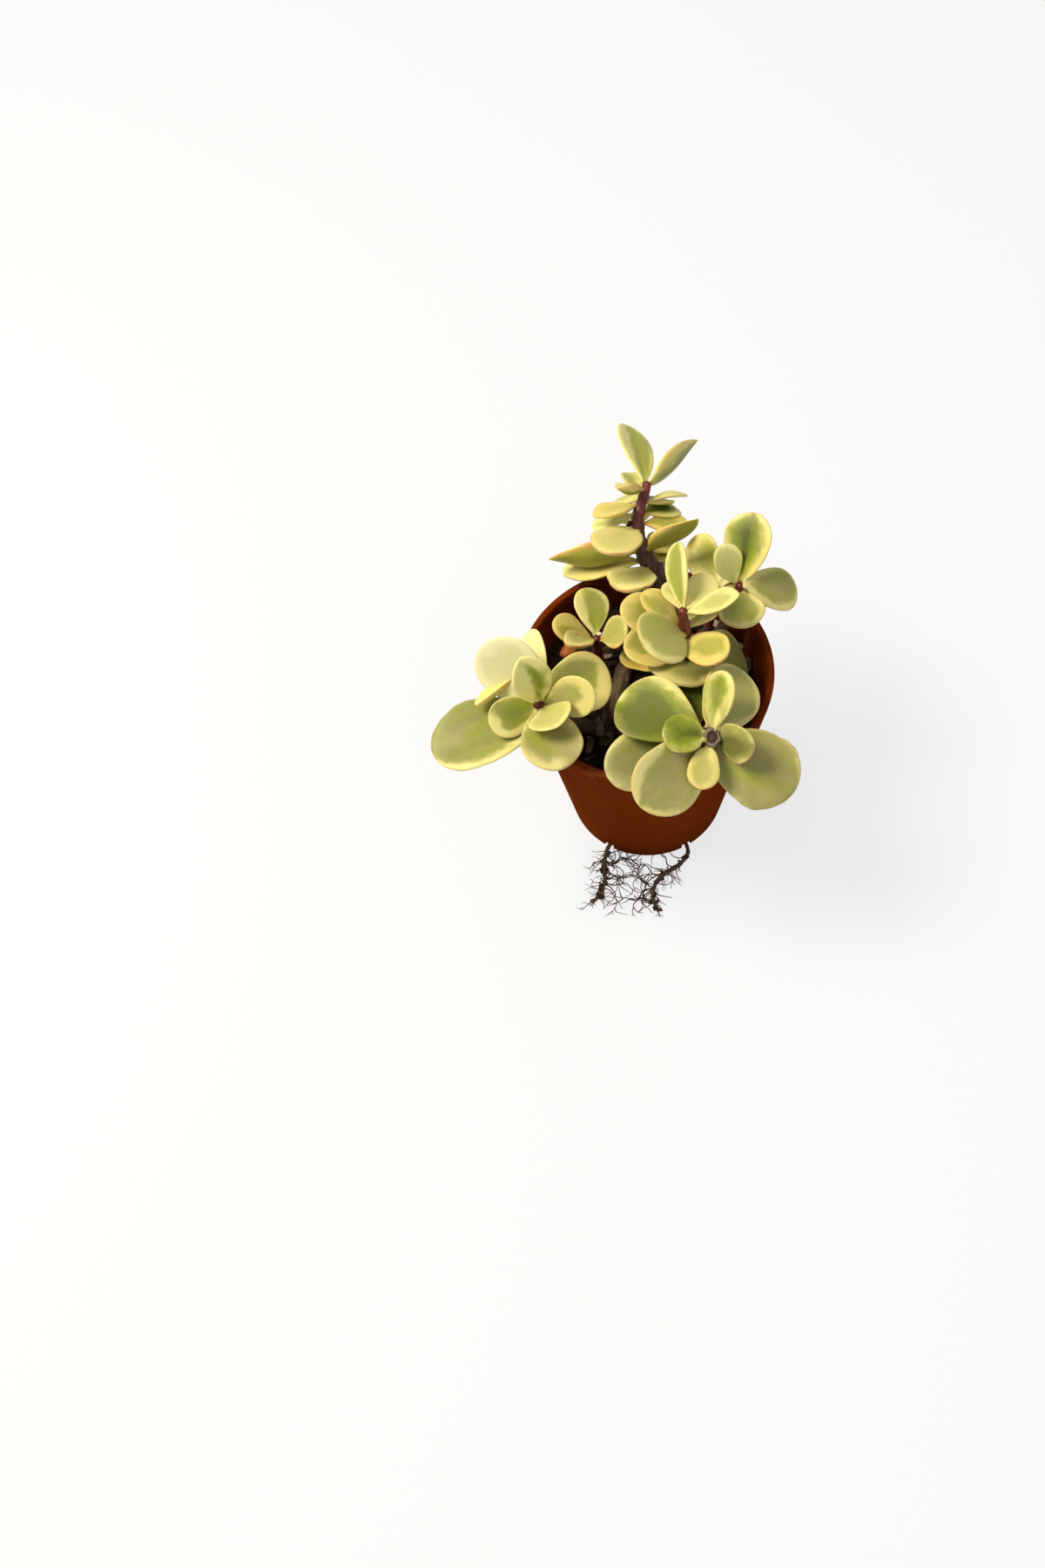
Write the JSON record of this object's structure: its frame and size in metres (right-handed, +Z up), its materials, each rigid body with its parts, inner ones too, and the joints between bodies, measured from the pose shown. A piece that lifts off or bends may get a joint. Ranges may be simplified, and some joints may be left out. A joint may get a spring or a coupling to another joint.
{
  "type": "potted bonsai plant",
  "caption": "Small leafy bonsai with fleshy variegated leaves on leaning woody stems, growing in a round tapered nursery pot.",
  "frame": {"origin": "middle of the pot's foot, on the surface it stands on", "axes": "+Z up; the plant's leader leans back towards +Y, and the front of the plant faces -Y"},
  "size_m": [0.099, 0.1154, 0.1009],
  "materials": {
    "pot_plastic": "thin moulded plastic, terracotta coloured, soft sheen",
    "potting_mix": "dark crumbly potting mix with bark chips",
    "bark": "brown ringed bark",
    "red_stem": "smooth red-brown young stem",
    "root": "rough dark brown root",
    "leaf": "waxy fleshy leaf, grey-green middle and cream-yellow margin"
  },
  "bodies": {
    "root": {"nursery_pot": "pot_plastic", "potting_mix": "potting_mix", "leader_stem": "bark", "centre_stem": "red_stem", "front_right_stem": "bark", "left_stem": "bark", "small_stem": "red_stem", "back_right_stem": "red_stem", "back_twig_stem": "red_stem", "surface_root": "root", "drain_root_left": "root", "drain_root_front": "root", "leader_leaf_01": "leaf", "leader_leaf_02": "leaf", "leader_leaf_03": "leaf", "leader_leaf_04": "leaf", "leader_leaf_05": "leaf", "leader_leaf_06": "leaf", "leader_leaf_07": "leaf", "leader_leaf_08": "leaf", "leader_leaf_09": "leaf", "leader_leaf_10": "leaf", "leader_leaf_11": "leaf", "leader_leaf_12": "leaf", "centre_leaf_01": "leaf", "centre_leaf_02": "leaf", "centre_leaf_03": "leaf", "centre_leaf_04": "leaf", "centre_leaf_05": "leaf", "centre_leaf_06": "leaf", "centre_leaf_07": "leaf", "centre_leaf_08": "leaf", "centre_leaf_09": "leaf", "front_right_leaf_01": "leaf", "front_right_leaf_02": "leaf", "front_right_leaf_03": "leaf", "front_right_leaf_04": "leaf", "front_right_leaf_05": "leaf", "front_right_leaf_06": "leaf", "front_right_leaf_07": "leaf", "front_right_leaf_08": "leaf", "front_right_leaf_09": "leaf", "left_leaf_01": "leaf", "left_leaf_02": "leaf", "left_leaf_03": "leaf", "left_leaf_04": "leaf", "left_leaf_05": "leaf", "left_leaf_06": "leaf", "left_leaf_07": "leaf", "left_leaf_08": "leaf", "left_leaf_09": "leaf", "small_leaf_01": "leaf", "small_leaf_02": "leaf", "back_right_leaf_01": "leaf", "back_right_leaf_02": "leaf", "back_right_leaf_03": "leaf", "back_right_leaf_04": "leaf", "back_right_leaf_05": "leaf", "back_twig_leaf_01": "leaf"}
  },
  "joints": []
}
